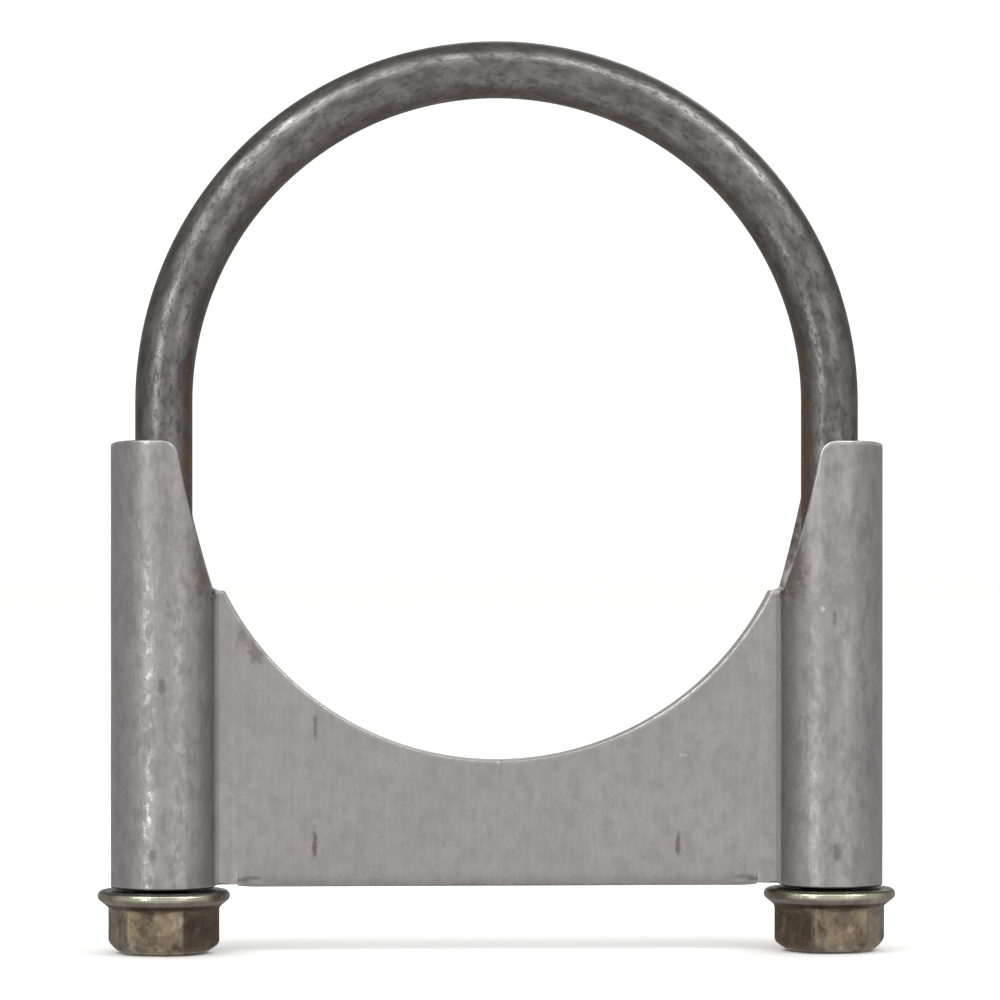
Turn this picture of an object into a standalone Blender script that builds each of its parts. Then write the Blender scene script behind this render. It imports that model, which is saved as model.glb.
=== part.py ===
"""Heavy-duty saddle U-bolt clamp for a 4 in exhaust pipe, standing on its two nuts.

Frame: the origin is on the ground plane midway between the legs, X runs from leg to leg, Y is the pipe's axis
with the front at -Y, and Z points up. Four pieces: the bent rod, the folded sheet saddle that slides on its legs,
and a flange nut on each leg. Plain cylinders with a running gap stand for the screw threads.
"""

import math

import bmesh
import bpy

MM = 0.001

# ---- driving dimensions
PIPE_RADIUS = 50.8 * MM            # 4 in pipe
ROD_RADIUS = 4.7625 * MM           # 3/8 in rod
ARCH_HEIGHT = 91.2 * MM            # centre of the rod's half circle above the ground
SEAT_HEIGHT = 82.5 * MM            # centre of the saddle's pipe seat above the ground
LEG_X = PIPE_RADIUS + ROD_RADIUS   # the legs' axes

SHEET = 2.5 * MM                   # saddle sheet thickness
PLATE_GAP = 0.4 * MM               # between the front and back plates
SLEEVE_OUTER = 8.9 * MM            # outer radius of the sleeves round the legs
CREASE_RADIUS = 1.0 * MM           # concave outer radius where a sleeve meets the plate
SEAM_GAP = 2.0 * MM                # open seam on the outer side of each sleeve
SADDLE_BOTTOM = 10.7 * MM
SLEEVE_TOP = 84.9 * MM
SHELF_HEIGHT = 59.9 * MM           # each tip of the pipe seat is cut off here
EDGE_FOOT = 60.6 * MM              # the sleeve's slanted edge starts here, beside the tip
EDGE_TOP_X = 53.3 * MM             # where the slanted edge would meet the sleeve's top
EDGE_BULGE = 0.45 * MM             # how far the slanted edge bows out from a straight line
CORNER_RADIUS = 2.8 * MM           # inner top corner of a sleeve
OUTER_DIP = 0.6 * MM               # the sleeve's top falls this much towards the seam
FOLD_HALF = 43.4 * MM              # the bottom fold joins the plates between these
NOTCH_WIDTH = 0.6 * MM             # relief slit at each end of the fold
NOTCH_TOP = 13.7 * MM
SEAT_FLAT_HALF = 1.0 * MM          # the seat's lowest stretch is flat for this far each side of the middle

NUT_HEIGHT = 10.3 * MM
NUT_FLATS = 16.3 * MM              # across the hexagon's flats
NUT_CHAMFER_RADIUS = 7.2 * MM      # bottom face inside the corner chamfer
NUT_CHAMFER_RISE = 1.8 * MM        # chamfer height at the corners
FLANGE_RADIUS = 11.0 * MM
BORE_CLEARANCE = 0.1 * MM          # radial, between the nut's bore and the rod
BORE_MOUTH = 0.7 * MM              # countersink at each end of the bore
NUT_CORNER_TURN = 21.0             # degrees a hexagon corner sits right of the front, left nut

ROD_END_CHAMFER = 1.0 * MM
MERGE = 0.00001

# ---- derived
SHEET_MID = SLEEVE_OUTER - SHEET / 2
PLATE_MID = (PLATE_GAP + SHEET) / 2
CREASE_MID = CREASE_RADIUS + SHEET / 2
CREASE_REACH = math.sqrt((SHEET_MID + CREASE_MID) ** 2 - (PLATE_MID + CREASE_MID) ** 2)
CREASE_ANGLE = math.asin((PLATE_MID + CREASE_MID) / (SHEET_MID + CREASE_MID))
CREASE_X = LEG_X - CREASE_REACH    # where the plate starts to turn into the sleeve
EDGE_FOOT_X = LEG_X - SLEEVE_OUTER * math.cos(CREASE_ANGLE)
TIP_X = math.sqrt(PIPE_RADIUS ** 2 - (SEAT_HEIGHT - SHELF_HEIGHT) ** 2)
FOLD_START = SADDLE_BOTTOM + PLATE_GAP / 2 + SHEET


def clear_scene():
    for thing in list(bpy.data.objects):
        bpy.data.objects.remove(thing, do_unlink=True)


def new_collection(name):
    made = bpy.data.collections.new(name)
    bpy.context.scene.collection.children.link(made)
    return made


def steel(name, colour, roughness):
    """A bare or plated metal."""
    made = bpy.data.materials.new(name)
    made.use_nodes = True
    shader = made.node_tree.nodes["Principled BSDF"]
    shader.inputs["Base Color"].default_value = (*colour, 1.0)
    shader.inputs["Roughness"].default_value = roughness
    shader.inputs["Metallic"].default_value = 1.0
    return made


def add_object(name, data, collection, material=None):
    made = bpy.data.objects.new(name, data)
    collection.objects.link(made)
    if material:
        data.materials.append(material)
    return made


def mesh_from(name, build):
    """A mesh filled by build(bm)."""
    data = bpy.data.meshes.new(name)
    bm = bmesh.new()
    build(bm)
    bm.to_mesh(data)
    bm.free()
    return data


def shade_round(data, degrees=30):
    data.shade_smooth()
    data.set_sharp_from_angle(angle=math.radians(degrees))


def turned(name, profile, collection, steps=40):
    """A solid turned about Z from (radius, height) points that run down its outer side."""

    def build(bm):
        points = [bm.verts.new((radius, 0, height)) for radius, height in profile]
        for start, end in zip(points, points[1:]):
            bm.edges.new((start, end))

    made = add_object(name, mesh_from(name, build), collection)
    screw = made.modifiers.new("turn", "SCREW")
    screw.steps = steps
    screw.render_steps = steps
    screw.use_merge_vertices = True
    screw.merge_threshold = MERGE
    return made


def boolean(target, other, operation):
    cut = target.modifiers.new(operation.lower(), "BOOLEAN")
    cut.operation = operation
    cut.solver = "EXACT"
    cut.object = other


def hide_tool(tool):
    tool.hide_render = True
    tool.display_type = "WIRE"


# ---- the bent rod
def rod_route():
    """Points (x, z, share of the rod's radius) up one leg, over the arch and down the other."""
    end_share = 1 - ROD_END_CHAMFER / ROD_RADIUS
    leg = [(0.0, end_share), (ROD_END_CHAMFER, 1.0)]
    arch_steps = 30
    route = [(-LEG_X, height, share) for height, share in leg]
    for step in range(arch_steps + 1):
        angle = math.pi * (1 - step / arch_steps)
        route.append((LEG_X * math.cos(angle), ARCH_HEIGHT + LEG_X * math.sin(angle), 1.0))
    return route + [(LEG_X, height, share) for height, share in reversed(leg)]


def make_u_bolt(collection, material):
    curve = bpy.data.curves.new("u_bolt", "CURVE")
    curve.dimensions = "3D"
    curve.bevel_depth = ROD_RADIUS
    curve.bevel_resolution = 10
    curve.use_fill_caps = True
    route = rod_route()
    spline = curve.splines.new("POLY")
    spline.points.add(len(route) - 1)
    for point, (x, z, share) in zip(spline.points, route):
        point.co = (x, 0, z, 1)
        point.radius = share
    return add_object("u_bolt", curve, collection, material)


# ---- the folded saddle
def sleeve_point(angle):
    """The sheet's middle on the right sleeve, at an angle from the outer side round the front."""
    return LEG_X + SHEET_MID * math.cos(angle), -SHEET_MID * math.sin(angle)


def crease_point(angle):
    """The sheet's middle on the tight bend between sleeve and plate."""
    centre_y = -(PLATE_MID + CREASE_MID)
    return CREASE_X + CREASE_MID * math.cos(angle), centre_y + CREASE_MID * math.sin(angle)


def slanted_edge(share):
    """The sleeve's cut edge from beside the tip (0) to the sleeve's top (1): (x on the outer face, z)."""
    x = EDGE_FOOT_X + (EDGE_TOP_X - EDGE_FOOT_X) * share + 4 * EDGE_BULGE * share * (1 - share)
    return x, EDGE_FOOT + (SLEEVE_TOP - EDGE_FOOT) * share


def sheet_stations():
    """Plan points of the sheet's middle with the height of its top edge there, from the seam to the centre."""
    stations = []
    seam_angle = math.asin(SEAM_GAP / 2 / SHEET_MID)
    corner_share = 1 - CORNER_RADIUS / (SLEEVE_TOP - EDGE_FOOT)
    corner_angle = math.acos((slanted_edge(corner_share)[0] - LEG_X) / SLEEVE_OUTER)
    corner_sweep = CORNER_RADIUS / SLEEVE_OUTER
    top_steps = 8
    for step in range(top_steps):
        share = step / top_steps
        angle = seam_angle + (corner_angle - corner_sweep - seam_angle) * share
        stations.append((*sleeve_point(angle), SLEEVE_TOP - OUTER_DIP * (1 - share) ** 3))
    corner_steps = 5
    for step in range(corner_steps):
        turn = math.pi / 2 * step / corner_steps
        angle = corner_angle - corner_sweep * (1 - math.sin(turn))
        stations.append((*sleeve_point(angle), SLEEVE_TOP - CORNER_RADIUS * (1 - math.cos(turn))))
    edge_steps = 8
    for step in range(edge_steps + 1):
        x, height = slanted_edge(corner_share * (1 - step / edge_steps))
        stations.append((*sleeve_point(math.acos((x - LEG_X) / SLEEVE_OUTER)), height))
    crease_steps = 3
    for step in range(1, crease_steps + 1):
        share = step / crease_steps
        angle = CREASE_ANGLE + (math.pi / 2 - CREASE_ANGLE) * share
        stations.append((*crease_point(angle), EDGE_FOOT + (SHELF_HEIGHT - EDGE_FOOT) * share))
    return stations + seat_stations()


def seat_edge(x):
    """Height of the pipe seat's arc."""
    return SEAT_HEIGHT - math.sqrt(PIPE_RADIUS ** 2 - x ** 2)


def seat_stations():
    """The straight plate under the pipe seat, with stations at the relief notch's two sides."""
    tip_angle = math.asin(TIP_X / PIPE_RADIUS)
    seat_steps = 16
    places = {PIPE_RADIUS * math.sin(tip_angle * step / seat_steps) for step in range(seat_steps + 1)}
    notch = (FOLD_HALF, FOLD_HALF + NOTCH_WIDTH)
    too_close = 0.4 * MM
    places = [x for x in places if min(abs(x - side) for side in notch) > too_close]
    places = sorted([*places, *notch, SEAT_FLAT_HALF], reverse=True)
    return [(x, -PLATE_MID, seat_edge(max(x, SEAT_FLAT_HALF))) for x in places]


def build_sheet(bm):
    """The middle surface of the saddle's front right quarter, open at both mirror planes."""
    fold_steps = 3
    columns = []
    for x, y, top in sheet_stations():
        line = [(x, y, top), (x, y, NOTCH_TOP)]
        in_plate = abs(y + PLATE_MID) < 1e-9
        if in_plate and x <= FOLD_HALF + MERGE:
            for step in range(fold_steps + 1):
                turn = math.pi / 2 * step / fold_steps
                line.append((x, -PLATE_MID * math.cos(turn), FOLD_START - PLATE_MID * math.sin(turn)))
        elif not in_plate or x >= FOLD_HALF + NOTCH_WIDTH - MERGE:
            line.append((x, y, SADDLE_BOTTOM))
        columns.append([bm.verts.new(place) for place in line])
    for left, right in zip(columns, columns[1:]):
        deep = len(left) if len(left) == len(right) else 2
        for row in range(deep - 1):
            bm.faces.new((left[row], left[row + 1], right[row + 1], right[row]))


def make_saddle(collection, material):
    data = mesh_from("saddle", build_sheet)
    made = add_object("saddle", data, collection, material)
    halves = made.modifiers.new("halves", "MIRROR")
    halves.use_axis = (True, True, False)
    halves.use_mirror_merge = True
    halves.merge_threshold = MERGE
    sheet = made.modifiers.new("sheet", "SOLIDIFY")
    sheet.thickness = SHEET
    sheet.offset = 0
    sheet.use_even_offset = True
    shade_round(data)
    return made


# ---- the flange nuts
def nut_envelope():
    """(radius, height) down the outer side of the hexagon part: its corners are chamfered at the foot."""
    corner = NUT_FLATS / math.sqrt(3)
    return [
        (0, NUT_HEIGHT - 1.0 * MM),
        (corner + 1 * MM, NUT_HEIGHT - 1.0 * MM),
        (corner + 1 * MM, NUT_CHAMFER_RISE * (corner + 1 * MM - NUT_CHAMFER_RADIUS)
         / (corner - NUT_CHAMFER_RADIUS)),
        (NUT_CHAMFER_RADIUS, 0),
        (0, 0),
    ]


def flange_profile():
    """(radius, height) down the flange: flat seat, rounded rim and a cone that dies into the hexagon."""
    rim_radius = 0.95 * MM
    rim_height = NUT_HEIGHT - rim_radius - 0.1 * MM
    rim = []
    rim_steps = 6
    for step in range(rim_steps + 1):
        angle = math.radians(90 - 140 * step / rim_steps)
        rim.append((FLANGE_RADIUS - rim_radius + rim_radius * math.cos(angle),
                    rim_height + rim_radius * math.sin(angle)))
    cone_foot = 6.3 * MM
    return [(0, NUT_HEIGHT), (FLANGE_RADIUS - 2 * rim_radius, NUT_HEIGHT), *rim, (7.9 * MM, cone_foot), (0, cone_foot)]


def bore_profile():
    """(radius, height) down the bore, with a countersink at each mouth and ends beyond both faces."""
    radius = ROD_RADIUS + BORE_CLEARANCE
    past = 0.5 * MM
    return [
        (0, NUT_HEIGHT + past),
        (radius + BORE_MOUTH + past, NUT_HEIGHT + past),
        (radius, NUT_HEIGHT - BORE_MOUTH),
        (radius, BORE_MOUTH),
        (radius + BORE_MOUTH + past, -past),
        (0, -past),
    ]


def make_nut(name, side, collection, tools, material):
    """A hexagon flange nut, flange up, with its origin on its leg's axis."""

    def build(bm):
        bmesh.ops.create_cone(bm, cap_ends=True, segments=6, radius1=NUT_FLATS / math.sqrt(3),
                              radius2=NUT_FLATS / math.sqrt(3), depth=NUT_HEIGHT * 2)

    nut = add_object(name, mesh_from(name, build), collection, material)
    nut.location.x = side * LEG_X
    # create_cone puts a corner on +Y; the front is at -Y, which is also a corner
    nut.rotation_euler.z = -side * math.radians(NUT_CORNER_TURN)
    for label, profile, operation in (
        ("envelope", nut_envelope(), "INTERSECT"),
        ("flange", flange_profile(), "UNION"),
        ("bore", bore_profile(), "DIFFERENCE"),
    ):
        tool = turned(f"{name}_{label}", profile, tools)
        tool.location.x = side * LEG_X
        hide_tool(tool)
        boolean(nut, tool, operation)
    return nut


def main():
    clear_scene()
    parts = new_collection("u_bolt_clamp")
    tools = new_collection("cutters")
    rod_steel = steel("rod_steel", (0.10, 0.095, 0.09), 0.42)
    saddle_steel = steel("saddle_steel", (0.30, 0.29, 0.28), 0.45)
    nut_zinc = steel("nut_zinc", (0.26, 0.20, 0.11), 0.40)
    make_u_bolt(parts, rod_steel)
    make_saddle(parts, saddle_steel)
    make_nut("nut_left", -1, parts, tools, nut_zinc)
    make_nut("nut_right", 1, parts, tools, nut_zinc)


main()
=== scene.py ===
# %% [markdown]
# # A saddle U-bolt clamp for an exhaust pipe
#
# The clamp has four real pieces: a steel rod bent into a half circle with two threaded legs, a saddle
# pressed from one folded steel sheet that slides on the legs, and a hexagon flange nut on each leg. The
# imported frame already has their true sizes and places, so every piece here is made around it, in metres,
# and only adds what the frame leaves plain: screw threads, rounded edges, press marks and the finishes.

import math

import bmesh
import bpy
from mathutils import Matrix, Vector, noise


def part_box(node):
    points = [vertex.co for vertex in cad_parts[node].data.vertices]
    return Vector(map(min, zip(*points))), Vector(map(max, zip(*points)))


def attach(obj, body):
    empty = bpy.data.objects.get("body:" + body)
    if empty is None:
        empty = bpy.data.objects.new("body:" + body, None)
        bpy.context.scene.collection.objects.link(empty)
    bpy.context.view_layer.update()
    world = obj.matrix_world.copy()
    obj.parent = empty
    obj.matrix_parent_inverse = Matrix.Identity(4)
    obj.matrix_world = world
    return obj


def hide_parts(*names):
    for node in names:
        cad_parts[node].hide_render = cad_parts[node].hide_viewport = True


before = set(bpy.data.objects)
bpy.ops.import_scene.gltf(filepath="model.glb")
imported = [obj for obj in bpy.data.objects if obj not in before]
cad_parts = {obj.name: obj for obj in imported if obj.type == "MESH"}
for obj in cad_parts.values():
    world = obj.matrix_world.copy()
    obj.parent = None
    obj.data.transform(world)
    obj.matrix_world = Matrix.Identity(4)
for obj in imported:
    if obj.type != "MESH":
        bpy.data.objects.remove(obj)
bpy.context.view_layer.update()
MM = 0.001

# %% [markdown]
# ## Sizes that come from the frame
#
# The rod's thickness is the depth of its box, and the legs stand half the box's width apart, less that
# radius. Reading these from the frame, and not typing them again, keeps the looks and the solids in step.

# %% Measure the rod, the saddle and the nuts
rod_low, rod_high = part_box("u_bolt")
saddle_low, saddle_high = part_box("saddle")
nut_low, nut_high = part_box("nut_left")

ROD_RADIUS = rod_high.y
LEG_X = rod_high.x - ROD_RADIUS
ARCH_HEIGHT = rod_high.z - LEG_X - ROD_RADIUS
SADDLE_BOTTOM = saddle_low.z
SLEEVE_TOP = saddle_high.z
SLEEVE_OUTER = saddle_high.y
NUT_HEIGHT = nut_high.z
FLANGE_RADIUS = nut_high.y
ROD_LENGTH = 2 * ARCH_HEIGHT + math.pi * LEG_X
print("mm: rod radius", round(ROD_RADIUS / MM, 3), "legs at", round(LEG_X / MM, 3),
      "arch centre", round(ARCH_HEIGHT / MM, 2))

# %% [markdown]
# ## Helpers
#
# Trees for shapes and for finishes are built the same way: add a node, fill each input with a number or
# with another node's output, and pass the result on. These helpers keep each tree short enough to read.

# %% Add a node, do a sum, open a group
def add(tree, kind, inputs=None, **settings):
    """A new node. Inputs are given by name or number, as a value or as another node's output."""
    made = tree.nodes.new(kind)
    for name, value in settings.items():
        setattr(made, name, value)
    for name, value in (inputs or {}).items():
        if isinstance(value, bpy.types.NodeSocket):
            tree.links.new(value, made.inputs[name])
        else:
            made.inputs[name].default_value = value
    return made


def sums(tree, operation, *values):
    """One Math node: its output."""
    return add(tree, "ShaderNodeMath", dict(enumerate(values)), operation=operation).outputs[0]


def vector_sums(tree, operation, *values):
    """One Vector Math node: its first output."""
    return add(tree, "ShaderNodeVectorMath", dict(enumerate(values)), operation=operation).outputs[0]


def ramp(tree, value, low, high, new_low=0.0, new_high=1.0):
    """A smooth step from new_low to new_high as the value passes from low to high."""
    inputs = {"Value": value, "From Min": low, "From Max": high, "To Min": new_low, "To Max": new_high}
    return add(tree, "ShaderNodeMapRange", inputs, interpolation_type="SMOOTHSTEP").outputs["Result"]


def open_group(name, kind, inputs, outputs):
    """An empty node group with named sockets: the tree, what comes in and what goes out."""
    tree = bpy.data.node_groups.new(name, kind)
    for label, socket_type, value in inputs:
        socket = tree.interface.new_socket(name=label, in_out="INPUT", socket_type=socket_type)
        if value is not None:
            socket.default_value = value
    for label, socket_type in outputs:
        tree.interface.new_socket(name=label, in_out="OUTPUT", socket_type=socket_type)
    return tree, tree.nodes.new("NodeGroupInput").outputs, tree.nodes.new("NodeGroupOutput").inputs


FLOAT = "NodeSocketFloat"
VECTOR = "NodeSocketVector"


# %% Helpers that several shapes share
def new_object(name, data):
    """An object in the scene for a mesh, a lamp or a camera."""
    made = bpy.data.objects.new(name, data)
    bpy.context.scene.collection.objects.link(made)
    return made


def share_of(value, start, width):
    """0 before start, 1 a width further on, and the share of the way in between."""
    return min(max((value - start) / width, 0.0), 1.0)


def eased(share):
    """The same share with a soft start and end."""
    return share * share * (3 - 2 * share)


# %% [markdown]
# ## Effects that the finishes are made of
#
# Worked steel is never even. Mill scale and zinc come out in clouds, drawing and pressing leave fine
# lines, handling leaves single stains, and edges lose their skin first. Each of these is a small node
# group that puts out only a mask from 0 to 1. A finish lays one colour over another through such masks,
# and each mask can also make the surface rougher or raise it.

# %% Clouds and lines: noise stretched along an axis
def make_patches():
    tree, given, out = open_group(
        "patches", "ShaderNodeTree",
        [("Vector", VECTOR, None), ("Stretch", VECTOR, (1, 1, 1)), ("Detail", FLOAT, 4.0),
         ("Low", FLOAT, 0.4), ("High", FLOAT, 0.6)],
        [("Mask", FLOAT)])
    place = vector_sums(tree, "MULTIPLY", given["Vector"], given["Stretch"])
    cloud = add(tree, "ShaderNodeTexNoise",
                {"Vector": place, "Scale": 1.0, "Detail": given["Detail"], "Roughness": 0.6})
    tree.links.new(ramp(tree, cloud.outputs[0], given["Low"], given["High"]), out["Mask"])
    return tree


PATCHES = make_patches()

# %% A single mark: a soft spot with a ragged outline
# Some marks are painted shade and painted highlight, not stains.
MARK_GRAIN = 900.0  # how fine the ragged outline is
MARK_PUSH = 3.0  # how far the grain pushes the outline, in half sizes
MARK_FADE = (1.0, 0.35)  # where the spot starts and where it is full, in half sizes


def make_mark():
    tree, given, out = open_group(
        "mark", "ShaderNodeTree",
        [("Vector", VECTOR, None), ("Place", VECTOR, (0, 0, 0)), ("Size", VECTOR, (1, 1, 1)),
         ("Ragged", FLOAT, 0.5), ("Strength", FLOAT, 1.0)],
        [("Mask", FLOAT)])
    offset = vector_sums(tree, "SUBTRACT", given["Vector"], given["Place"])
    scaled = vector_sums(tree, "DIVIDE", offset, given["Size"])
    distance = add(tree, "ShaderNodeVectorMath", {0: scaled}, operation="LENGTH").outputs["Value"]
    grain = add(tree, "ShaderNodeTexNoise",
                {"Vector": given["Vector"], "Scale": MARK_GRAIN, "Detail": 3.0, "Roughness": 0.6})
    push = sums(tree, "MULTIPLY", sums(tree, "SUBTRACT", grain.outputs[0], 0.5), given["Ragged"])
    reach = sums(tree, "MULTIPLY_ADD", push, MARK_PUSH, distance)
    spot = ramp(tree, reach, *MARK_FADE)
    tree.links.new(sums(tree, "MULTIPLY", spot, given["Strength"]), out["Mask"])
    return tree


MARK = make_mark()

# %% Edge wear: where a rounded normal leaves the true one, with breaks along the edge
EDGE_FACING = (0.995, 0.90)  # how alike the two normals are where wear starts and where it is full
EDGE_BREAKS = (0.30, 0.62)


def make_edge_wear():
    tree, given, out = open_group(
        "edge_wear", "ShaderNodeTree",
        [("Width", FLOAT, 0.4 * MM), ("Breaks", FLOAT, 500.0)],
        [("Mask", FLOAT)])
    soft = add(tree, "ShaderNodeBevel", {"Radius": given["Width"]}, samples=6)
    true = add(tree, "ShaderNodeNewGeometry")
    facing = add(tree, "ShaderNodeVectorMath", {0: soft.outputs[0], 1: true.outputs["Normal"]},
                 operation="DOT_PRODUCT").outputs["Value"]
    edge = ramp(tree, facing, *EDGE_FACING)
    place = add(tree, "ShaderNodeTexCoord").outputs["Object"]
    breaks = add(tree, "ShaderNodeTexNoise", {"Vector": place, "Scale": given["Breaks"], "Detail": 3.0})
    tree.links.new(sums(tree, "MULTIPLY", edge, ramp(tree, breaks.outputs[0], *EDGE_BREAKS)), out["Mask"])
    return tree


EDGE_WEAR = make_edge_wear()
print("shared effects:", [group.name for group in (PATCHES, MARK, EDGE_WEAR)])


# %% Place effects in a material
def effect(tree, group, **inputs):
    """The mask that a shared group puts out."""
    return add(tree, "ShaderNodeGroup", inputs, node_tree=group).outputs["Mask"]


def patch_masks(tree, place, rows):
    """A mask for each row of patches: stretch across and along the piece, detail, low and high."""
    masks = {}
    for name, (across, along, detail, low, high) in rows.items():
        masks[name] = effect(tree, PATCHES, Vector=place, Stretch=(across, across, along),
                             Detail=detail, Low=low, High=high)
    return masks


def product(tree, first, *others):
    """Masks multiplied together: bright only where all of them are."""
    for other in others:
        first = sums(tree, "MULTIPLY", first, other)
    return first


def band(tree, value, start, full, fading, end):
    """A mask that rises from start to full and falls again from fading to end."""
    return product(tree, ramp(tree, value, start, full), ramp(tree, value, end, fading))


# %% Turn masks into a metal's colour, roughness and relief
def open_metal(name):
    """A new metal: the material, its tree and its Principled shader."""
    made = bpy.data.materials.new(name)
    made.use_nodes = True
    tree = made.node_tree
    shader = tree.nodes["Principled BSDF"]
    shader.inputs["Metallic"].default_value = 1.0
    return made, tree, shader


def lay_over(tree, under, tint, mask):
    """The colour under, covered by a tint where the mask is bright."""
    inputs = {"Factor": mask, 6: under, 7: (*tint, 1.0)}
    return add(tree, "ShaderNodeMix", inputs, data_type="RGBA").outputs[2]


def weighted(tree, masks, total, weights):
    """A number, plus each named mask times its weight."""
    for name, weight in weights.items():
        total = sums(tree, "MULTIPLY_ADD", masks[name], weight, total)
    return total


def finish_metal(tree, shader, masks, skin, layers, roughness, relief):
    """Lays the colours over the skin in order, then sets the roughness and raises the surface."""
    colour = (*skin, 1.0)
    for name, tint, strength in layers:
        colour = lay_over(tree, colour, tint, product(tree, masks[name], strength))
    tree.links.new(colour, shader.inputs["Base Color"])
    tree.links.new(weighted(tree, masks, *roughness), shader.inputs["Roughness"])
    depth, weights = relief
    height = weighted(tree, masks, 0.0, weights)
    raised = add(tree, "ShaderNodeBump", {"Height": height, "Distance": depth, "Strength": 1.0})
    tree.links.new(raised.outputs[0], shader.inputs["Normal"])


# %% [markdown]
# ## The rod's finish: dark mill scale
#
# The rod is bare hot-rolled steel. Its skin is a dark grey oxide with blacker clouds that drawing has
# pulled out along the rod. Its sides, where the rod turns away from the front, are painted dark brown as
# shade, and brown rust has started on the inner side of the legs.
#
# The clouds must follow the rod round the arch, so the mesh carries "straight", the place each point
# would have on the rod before it was bent, and "outward", which runs from -1 at the inner side of the
# bend to 1 outside.

# %% Choose the rod's patches and colours
ROD_PATCHES = {  # stretch across, stretch along, detail, low, high
    "clouds": (460, 220, 6.0, 0.38, 0.62),
    "specks": (1200, 760, 4.0, 0.46, 0.74),
    "lines": (2600, 60, 2.0, 0.45, 0.80),
    "rubbed_and_sheen": (560, 110, 5.0, 0.50, 0.72),
    "warm": (240, 90, 3.0, 0.54, 0.76),
    "rust": (800, 200, 4.0, 0.30, 0.66),
}
ROD_SKIN = (0.320, 0.312, 0.306)
ROD_LAYERS = [  # mask, colour, strength; each lies over those before it
    ("clouds", (0.150, 0.147, 0.146), 0.80),
    ("specks", (0.055, 0.053, 0.053), 0.60),
    ("rubbed_and_sheen", (0.48, 0.47, 0.46), 0.35),
    ("lines", (0.34, 0.33, 0.33), 0.18),
    ("warm", (0.19, 0.135, 0.105), 0.35),
    # The rod's sides: painted shade, dark brown where the rod turns away from the front.
    ("sides", (0.068, 0.053, 0.044), 0.64),
    ("rust", (0.240, 0.128, 0.068), 0.90),
]
ROD_ROUGHNESS = (0.34, {"specks": 0.14, "rubbed_and_sheen": -0.07, "rust": 0.20})
ROD_RELIEF = (0.05 * MM, {"clouds": 0.4, "specks": -0.5, "lines": 0.12})
DARK_SIDES = (0.52, 0.98)  # share of the way from the rod's front to its side
RUSTY_SIDE = (-0.45, -0.92)  # the same, towards the inside of the bend
RUSTY_LENGTH = (70.0 * MM, 95.0 * MM)  # along the rod from the arch's top
RUST_ON_ARCH = 0.35


# %% Build the rod's steel
def make_rod_steel():
    made, tree, shader = open_metal("mill_scale_steel")
    straight = add(tree, "ShaderNodeAttribute", attribute_name="straight").outputs["Vector"]
    outward = add(tree, "ShaderNodeAttribute", attribute_name="outward").outputs["Fac"]
    masks = patch_masks(tree, straight, ROD_PATCHES)
    # Painted shade towards both sides of the rod
    masks["sides"] = ramp(tree, sums(tree, "ABSOLUTE", outward), *DARK_SIDES)
    inner = ramp(tree, outward, *RUSTY_SIDE)
    along = add(tree, "ShaderNodeSeparateXYZ", {0: straight}).outputs[2]
    from_middle = sums(tree, "ABSOLUTE", sums(tree, "SUBTRACT", along, ROD_LENGTH / 2))
    on_leg = ramp(tree, from_middle, *RUSTY_LENGTH, RUST_ON_ARCH, 1.0)
    masks["rust"] = product(tree, inner, masks["rust"], on_leg)
    finish_metal(tree, shader, masks, ROD_SKIN, ROD_LAYERS, ROD_ROUGHNESS, ROD_RELIEF)
    return made


ROD_STEEL = make_rod_steel()
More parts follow.
